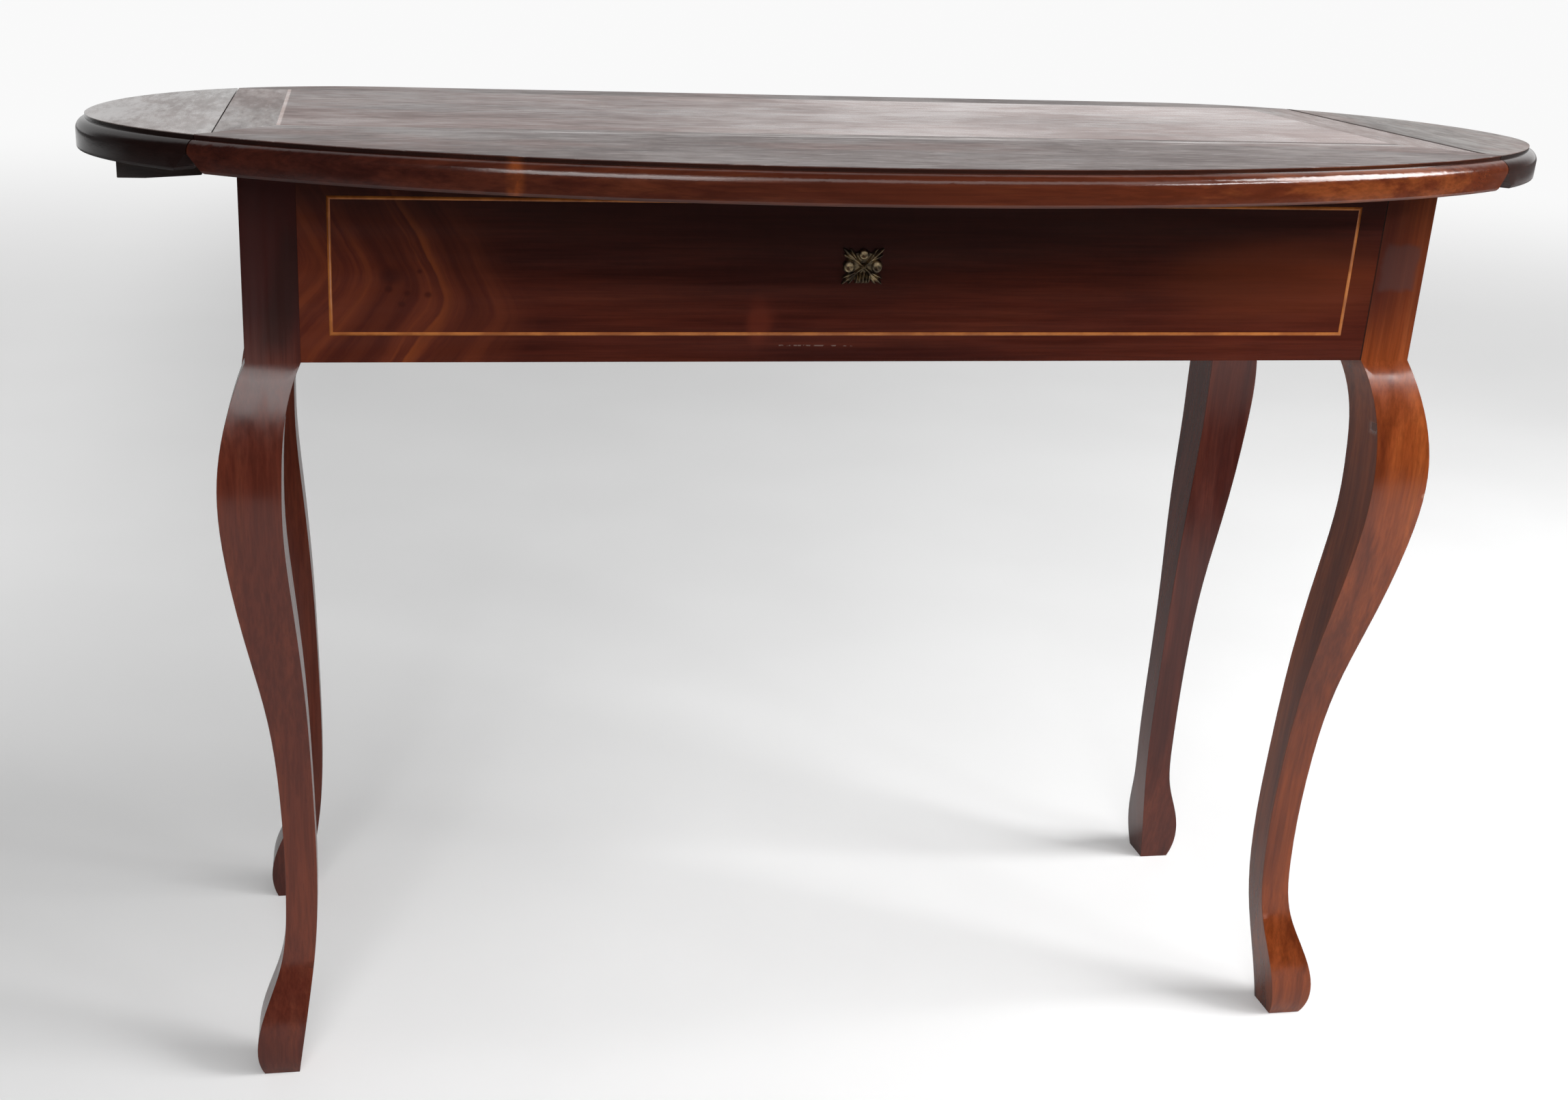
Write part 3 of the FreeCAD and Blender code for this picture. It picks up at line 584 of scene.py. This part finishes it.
def leaf_marks(shader, edge, face, rough):
    """Small knots on the left leaf, painted reflection paling the left leaf, a red middle, a dark line at
    the right seam, and painted shade on the edge of both leaves.
    """
    for place in leaf_knots:
        knot = shader.spot((*place, top_z), leaf_knot_radii, 0.7)
        face = shader.mix(shader.times(knot, 0.55), face, leaf_knot_dark)
    # Painted reflection: the left leaf made paler
    painted_light = shader.times(shader.ramp(shader.x, -0.1, 0.1, 0.6, 0.0),
                            shader.ramp(shader.noise(shader.place, 12.0, 4.0, 0.6), 0.35, 0.65, 0.4, 1.0))
    face = shader.mix(painted_light, face, painted_reflection_leaf)
    middle = shader.spot((*leaf_middle, top_z), leaf_middle_radii, 0.7)
    face = shader.mix(shader.times(middle, 0.45), face, leaf_middle_red)
    seam = shader.between(shader.x, 0.0, seam_x + seam_line_width, seam_line_fade)
    face = shader.mix(seam, face, joint_dark)
    rough = shader.sum((rough, 1.0), (seam, 0.45))
    # Painted shade on the moulded edges of both leaves
    return shader.mix(0.85, edge, painted_leaf_edge_shade), face, rough


def plain_wood(name, axis, tones):
    """Unpolished wood of the hidden parts."""
    shader = Shader(name)
    grain = Grain(shader, axis, (0, 0, 0), 10.0)
    colour = wood_colour(shader, grain, tones)
    roughness = shader.ramp(grain.streak, 0.3, 0.7, 0.55, 0.75)
    return shader.finish(colour, roughness, grain.fibre, plain_relief)


def metal(name, dark, bright, low_rough, high_rough, scale):
    """Worn metal, its dark and bright tones laid out by noise."""
    shader = Shader(name)
    patina = shader.noise(shader.place, scale, 4.0, 0.6)
    fine = shader.noise(shader.place, scale * 6, 3.0, 0.6)
    colour = shader.mix(shader.ramp(patina, 0.42, 0.66), dark, bright)
    shader.surface.inputs["Metallic"].default_value = 1.0
    roughness = shader.ramp(fine, 0.3, 0.7, low_rough, high_rough)
    return shader.finish(colour, roughness, fine, metal_relief)


def inlay_wood():
    """Light orange stringing with short darker stretches."""
    shader = Shader("satinwood_stringing")
    tone = shader.noise(shader.place, 45.0, 3.0, 0.6)
    fine = shader.noise(shader.place, 900.0, 2.0)
    colour = shader.mix(shader.ramp(tone, 0.35, 0.65), *inlay_tones)
    return shader.finish(colour, 0.34, fine, inlay_relief, 0.3)


# Finishes of the carried-over pieces
red_leg_wood = polished("leg_mahogany", "z", red_leg_tones, figure_scale=10.0, marks=leg_marks)
warm_leg_wood = polished("warm_leg_mahogany", "z", warm_leg_tones, (0.2, 0.6, 0.1), 10.0, leg_marks)
apron_wood = polished("apron_mahogany", "x", carcase_tones, (0.4, 0.1, 0.3), marks=apron_marks, specular=0.3)
back_wood = polished("back_apron_mahogany", "x", carcase_tones, (0.7, 0.3, 0.5))
end_wood = polished("end_apron_mahogany", "y", carcase_tones, (0.1, 0.5, 0.2))
panel_wood = board("panel_mahogany", "x", (0.3, 0.2, 0.0), panel_tones, panel_marks, 0.38, 0.35)
front_rail_wood = board("front_rail_mahogany", "x", (1.3, 0.7, 0.0), rail_tones, front_rail_marks, 0.46, 0.6)
back_rail_wood = board("back_rail_mahogany", "x", (2.3, 1.7, 0.0), rail_tones)
cross_rail_wood = board("cross_rail_mahogany", "y", (3.1, 2.2, 0.0), cross_tones, None, 0.35, 0.25)
left_leaf_wood = board("left_leaf_mahogany", "y", (0.9, 3.4, 0.0), leaf_tones, leaf_marks, 0.24, 0.35)
leaf_wood = board("leaf_mahogany", "y", (0.9, 3.4, 0.0), leaf_tones, leaf_marks, 0.40, 0.35)
hidden_wood = plain_wood("secondary_wood", "x", hidden_tones)
# Painted shade in the bearers' near-black tones
shaded_bearer_wood = plain_wood("shaded_bearer_wood", "x", painted_shade_bearer_tones)
hinge_brass = metal("aged_brass", (0.20, 0.12, 0.05), (0.50, 0.36, 0.16), 0.3, 0.5, 120.0)
cast_brass = metal("cast_brass", (0.075, 0.058, 0.042), (0.34, 0.26, 0.15), 0.3, 0.5, 160.0)
dull_steel = metal("dull_steel", (0.16, 0.15, 0.14), (0.42, 0.41, 0.39), 0.35, 0.55, 200.0)
stringing_wood = inlay_wood()


# How a piece's name starts, its material and the softening of its arrises. The first match counts
finishes = (
    ("rosette_pins", dull_steel, 0.0),
    ("rosette", cast_brass, 0.0),
    ("stringing", stringing_wood, 0.0),
    ("hinge_", hinge_brass, 0.0),
    ("leg_front_right", warm_leg_wood, 0.0009),
    ("leg_", red_leg_wood, 0.0009),
    ("apron_front", apron_wood, 0.0003),
    ("apron_back", back_wood, 0.0003),
    ("apron_", end_wood, 0.0004),
    ("top_panel", panel_wood, 0.0003),
    ("top_front_rail", front_rail_wood, 0.0005),
    ("top_back_rail", back_rail_wood, 0.0005),
    ("top_cross_rail", cross_rail_wood, 0.0003),
    ("leaf_left", left_leaf_wood, 0.0005),
    ("leaf_right", leaf_wood, 0.0005),
    ("leaf_bearers", shaded_bearer_wood, 0.0006),
    ("", hidden_wood, 0.0008),
)


def finish_of(name):
    """Material and softening of the arrises of one carried-over piece."""
    if "screws" in name:
        return dull_steel, 0.0
    for start, material, arris in finishes:
        if name.startswith(start):
            return material, arris


weld_distance = 0.00001
sharp_angle = math.radians(32)
arris_angle = math.radians(40)


def soften(thing, width):
    """Smooth shading between sharp edges, and arrises eased as a hand plane leaves them."""
    mesh = thing.data
    normals = mesh.attributes.get("custom_normal")
    if normals:
        mesh.attributes.remove(normals)
    mesh.shade_smooth()
    mesh.set_sharp_from_angle(angle=sharp_angle)
    weld = thing.modifiers.new("weld", "WELD")
    weld.merge_threshold = weld_distance
    if width:
        bevel = thing.modifiers.new("arris", "BEVEL")
        bevel.width = width
        bevel.segments = 2
        bevel.limit_method = "ANGLE"
        bevel.angle_limit = arris_angle
        bevel.use_clamp_overlap = True
        bevel.harden_normals = True


for name, thing in nodes.items():
    material, arris = finish_of(name)
    thing.data.materials.clear()
    thing.data.materials.append(material)
    soften(thing, arris)


# Cast mount on the apron, modelled as one raised surface. Places run from -1 to 1 across it
mount_steps = 150
mount_margin = 1.02
mount_fill = 0.96
plate_radius = 0.86
plate_height = 0.30
plate_slope = 0.05
outline_height = 0.02
mount_sharp_angle = math.radians(60)
leaf_turns = (45, 135, 225, 315)
# Sideways place, size and tip of each of the three blades of a corner leaf
leaf_blades = ((0.0, 1.0, 1.40), (0.17, 0.8, 1.16), (-0.17, 0.8, 1.16))
blade_width = 0.15
blade_start = 0.1
blade_middle = 0.72
blade_height = 0.62
blade_width_least = 0.001
blades_part = 0.35
blades_parting = 0.6
vein_height = 0.12
vein_width = 0.03
# Place and radii of each ringed boss
ringed_bosses = ((0.0, 0.66, (0.28, 0.31)), (-0.68, 0.0, (0.29, 0.40)), (0.68, 0.0, (0.29, 0.40)))
ring_height = 0.95
ring_dish = 0.55
dish_share = 0.55
fan_middle = -0.62
fan_half_rise = 0.34
fan_half_width = 0.36
fan_ribs = 4.5
fan_edge = 0.40
fan_slope = 0.08
rib_height = 0.62
rib_wave = 0.20
flower_radii = (0.20, 0.20)
flower_height = 0.85
flower_petals = 6
petal_wave = 0.12


def mount_height(u, v):
    """Relief of the mount at places from -1 to 1 across it, as a share of its full height."""
    radius = np.hypot(u, v)
    angle = np.arctan2(v, u)
    relief = plate_height * np.clip((plate_radius - radius) / plate_slope, 0, 1)

    def boss(x, y, size, rim, dish):
        reach = np.hypot((u - x) / size[0], (v - y) / size[1])
        dome = np.sqrt(np.clip(1 - reach ** 2, 0, 1))
        return rim * dome - dish * np.exp(-(reach / dish_share) ** 2) * (reach < 1)

    for turn in leaf_turns:
        lean = math.radians(turn)
        ahead = u * math.cos(lean) + v * math.sin(lean)
        aside = -u * math.sin(lean) + v * math.cos(lean)
        for offset, size, tip in leaf_blades:
            spread = aside - offset * np.clip((ahead - blades_part) / blades_parting, 0, 1.2)
            taper = np.clip(1 - ((ahead - blade_middle) / (tip - blade_middle)) ** 2, 0, 1) ** 0.6
            width = np.maximum(blade_width * size * taper, blade_width_least)
            within = (ahead > blade_start) * (ahead < tip)
            inside = np.clip(1 - (spread / width) ** 2, 0, 1) * within
            vein = vein_height * np.exp(-(spread / vein_width) ** 2) * (inside > 0.2)
            blade = (blade_height * size * np.sqrt(inside) + vein) * (1.1 - 0.35 * ahead)
            relief = np.maximum(relief, blade)
    for x, y, size in ringed_bosses:
        relief = np.maximum(relief, boss(x, y, size, ring_height, ring_dish))
    fan = np.clip(1 - ((v - fan_middle) / fan_half_rise) ** 2, 0, 1) * (np.abs(u) < fan_half_width)
    ribs = rib_height + rib_wave * np.cos(u / fan_half_width * math.pi * fan_ribs)
    relief = np.maximum(relief, np.sqrt(fan) * ribs * np.clip((fan_edge - np.abs(u)) / fan_slope, 0, 1))
    petals = 1 + petal_wave * np.cos(angle * flower_petals)
    return np.maximum(relief, boss(0.0, 0.0, flower_radii, flower_height, 0.0) * petals)


def make_mount():
    """Raised grid over the mount's place, trimmed to its pierced outline and closed at the back."""
    middle = (mount_low + mount_high) / 2
    half = (mount_high - mount_low) / 2
    relief = mount_high.y - mount_low.y
    steps = np.linspace(-1.0, 1.0, mount_steps)
    u, v = np.meshgrid(steps, steps)
    height = mount_height(u * mount_margin, v * mount_margin)
    kept = height > outline_height
    index = -np.ones(kept.shape, int)
    index[kept] = np.arange(kept.sum())
    total = int(kept.sum())
    front = [
        (middle.x + half.x * u[row, column],
         front_y - relief * mount_fill * min(height[row, column], 1.0),
         middle.z + half.z * v[row, column])
        for row, column in zip(*np.nonzero(kept))
    ]
    back = [(x, front_y, z) for x, y, z in front]
    faces = []
    edges = {}
    for row in range(mount_steps - 1):
        for column in range(mount_steps - 1):
            corners = ((row, column), (row, column + 1), (row + 1, column + 1), (row + 1, column))
            ring = [index[corner] for corner in corners]
            if min(ring) < 0:
                continue
            faces.append(ring)
            faces.append([total + corner for corner in reversed(ring)])
            for one, two in zip(ring, ring[1:] + ring[:1]):
                key = (min(one, two), max(one, two))
                edges[key] = None if key in edges else (one, two)
    for pair in edges.values():
        if pair:
            one, two = pair
            faces.append([two, one, total + one, total + two])
    mesh = bpy.data.meshes.new("cast_mount")
    mesh.from_pydata(front + back, [], faces)
    mesh.validate()
    mesh.update()
    mesh.shade_smooth()
    mesh.set_sharp_from_angle(angle=mount_sharp_angle)
    mount = bpy.data.objects.new("cast_mount", mesh)
    scene.collection.objects.link(mount)
    mesh.materials.append(cast_brass)
    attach(mount, "base")
    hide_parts("rosette")


make_mount()

# Studio
background_white = 0.95
background_left = 0.80
ambient_strength = 0.13
front_reflection = 0.05
side_reflection = 0.15
paper_front = -1.5
paper_fade = 0.5
paper_reach = 4.2
floor_half = 30.0
# Distances over which the floor's place stands in for a direction
floor_depth_unit = 4.0
floor_side_unit = 6.0
# Directions, from -1 to 1, between which the background changes
white_left = -0.6
white_right = 0.4
spread_inner = 0.70
spread_outer = 0.92
depth_near = 0.05
depth_far = 0.35
# Light that the camera adds to the paper, in front of the table, behind it and to its sides
glow_front = 0.135
glow_back = 0.20
glow_left = 0.17
glow_right = 0.10
# Places between which that light changes
glow_near_y = -0.2
glow_far_y = 1.2
side_glow_far_y = 1.4
glow_right_x = 1.6
glow_left_outer_x = -1.1
glow_left_inner_x = -0.4


def background_strength(parts, depth, sideways):
    """White to the camera. To reflections it is white behind the table and dim elsewhere."""
    path = parts.add("ShaderNodeLightPath")
    mirrored = parts.math("MAXIMUM", path.outputs["Is Glossy Ray"], path.outputs["Is Transmission Ray"])
    white = parts.ramp(sideways, white_left, white_right, background_left, background_white)
    aside = parts.math("ABSOLUTE", sideways)
    spread = parts.ramp(aside, spread_inner, spread_outer, 1.0, side_reflection)
    behind = parts.times(parts.ramp(depth, depth_near, depth_far), spread)
    seen_in_gloss = parts.times(white, parts.math("MAXIMUM", behind, front_reflection))
    gloss = parts.times(mirrored, seen_in_gloss)
    ambient = parts.times(parts.math("SUBTRACT", 1.0, mirrored), ambient_strength)
    camera = parts.times(path.outputs["Is Camera Ray"], background_white)
    return parts.math("MAXIMUM", camera, parts.math("ADD", gloss, ambient))


def make_floor():
    """Pale floor with the table's shadows, white far away. The paper ends in front of the table."""
    mesh = bpy.data.meshes.new("floor")
    corners = [(x * floor_half, y * floor_half, 0) for x, y in ((-1, -1), (1, -1), (1, 1), (-1, 1))]
    mesh.from_pydata(corners, [], [(0, 1, 2, 3)])
    floor = bpy.data.objects.new("floor", mesh)
    scene.collection.objects.link(floor)
    shader = Shader("pale_floor")
    grain = shader.noise(shader.place, 3.0, 4.0)
    colour = shader.mix(shader.ramp(grain, 0.3, 0.7), (0.80, 0.80, 0.80), (0.84, 0.84, 0.84))
    shader.finish(colour, 0.6, None, 0.0, specular=0.2)
    near = shader.spot((0.0, 0.0, 0.0), (paper_reach, paper_reach, paper_reach), 0.55)
    path = shader.add("ShaderNodeLightPath")
    past_paper = shader.times(path.outputs["Is Glossy Ray"],
                              shader.ramp(shader.y, paper_front - paper_fade, paper_front, 1.0, 0.0))
    paper = shader.times(near, shader.math("SUBTRACT", 1.0, past_paper))
    far = shader.ramp(shader.y, glow_near_y, side_glow_far_y)
    on_right = shader.ramp(shader.x, 0.0, glow_right_x, 0.0, glow_right)
    on_left = shader.ramp(shader.x, glow_left_outer_x, glow_left_inner_x, glow_left, 0.0)
    beside = shader.math("ADD", on_right, on_left)
    along_depth = shader.ramp(shader.y, glow_near_y, glow_far_y, glow_front, glow_back)
    glow = shader.math("ADD", along_depth, shader.times(far, beside))
    shader.tree.links.new(shader.times(path.outputs["Is Camera Ray"], glow),
                          shader.surface.inputs["Emission Strength"])
    shader.surface.inputs["Emission Color"].default_value = (1, 1, 1, 1)
    white = shader.add("ShaderNodeEmission", {
        "Color": (1, 1, 1, 1),
        "Strength": background_strength(shader, shader.math("DIVIDE", shader.y, floor_depth_unit),
                                        shader.math("DIVIDE", shader.x, floor_side_unit)),
    })
    blend = shader.add("ShaderNodeMixShader", {0: paper, 1: white.outputs[0], 2: shader.surface.outputs[0]})
    shader.tree.links.new(blend.outputs[0], shader.tree.nodes["Material Output"].inputs[0])
    mesh.materials.append(shader.material)


def make_world():
    world = bpy.data.worlds.new("studio")
    world.use_nodes = True
    parts = Nodes(world.node_tree)
    direction = parts.add("ShaderNodeTexCoord").outputs["Generated"]
    sideways, depth, _ = parts.add("ShaderNodeSeparateXYZ", {0: direction}).outputs
    background = parts.tree.nodes["Background"]
    parts.tree.links.new(background_strength(parts, depth, sideways), background.inputs["Strength"])
    background.inputs["Color"].default_value = (1, 1, 1, 1)
    scene.world = world


def area_light(name, place, target, size, power):
    light = bpy.data.lights.new(name, "AREA")
    light.shape = "RECTANGLE"
    light.size = size[0]
    light.size_y = size[1]
    light.energy = power
    lamp = bpy.data.objects.new(name, light)
    lamp.location = place
    lamp.rotation_euler = (Vector(target) - Vector(place)).to_track_quat("-Z", "Y").to_euler()
    scene.collection.objects.link(lamp)


def make_camera():
    across = Vector((math.cos(camera_yaw), math.sin(camera_yaw), 0))
    ahead = Vector((-math.sin(camera_yaw), math.cos(camera_yaw), 0))
    up = Vector((0, 0, 1))
    forward = ahead * math.cos(camera_pitch) + up * math.sin(camera_pitch)
    upward = up * math.cos(camera_pitch) - ahead * math.sin(camera_pitch)
    right = across * math.cos(camera_roll) + upward * math.sin(camera_roll)
    above = upward * math.cos(camera_roll) - across * math.sin(camera_roll)
    data = bpy.data.cameras.new("photo_camera")
    data.sensor_fit = "HORIZONTAL"
    data.sensor_width = sensor_width_mm
    data.lens = focal_length_px / image_width_px * sensor_width_mm
    data.shift_x = (image_width_px / 2 - principal_x_px) / image_width_px
    data.shift_y = (principal_y_px - image_height_px / 2) / image_width_px
    camera = bpy.data.objects.new("photo_camera", data)
    turn = Matrix((right, above, -forward)).transposed()
    camera.matrix_world = Matrix.Translation(camera_place) @ turn.to_4x4()
    scene.collection.objects.link(camera)
    scene.camera = camera


# Name, place, target, size and power of each lamp
lamps = (
    ("key", (2.4, -0.65, 2.1), (0.1, 0, 0.55), (1.2, 1.2), 84),
    ("umbrella", (-0.7, -2.5, 1.92), (-0.2, 0, 0.5), (1.2, 1.2), 26),
    ("softbox", (1.9, -1.55, 1.60), (0.26, -0.2, 0.7), (0.8, 0.08), 13),
    ("overhead", (0.3, -1.9, 2.2), (0.1, 0, 0.6), (3.2, 0.8), 20),
)

make_floor()
make_world()
for lamp in lamps:
    area_light(*lamp)
make_camera()
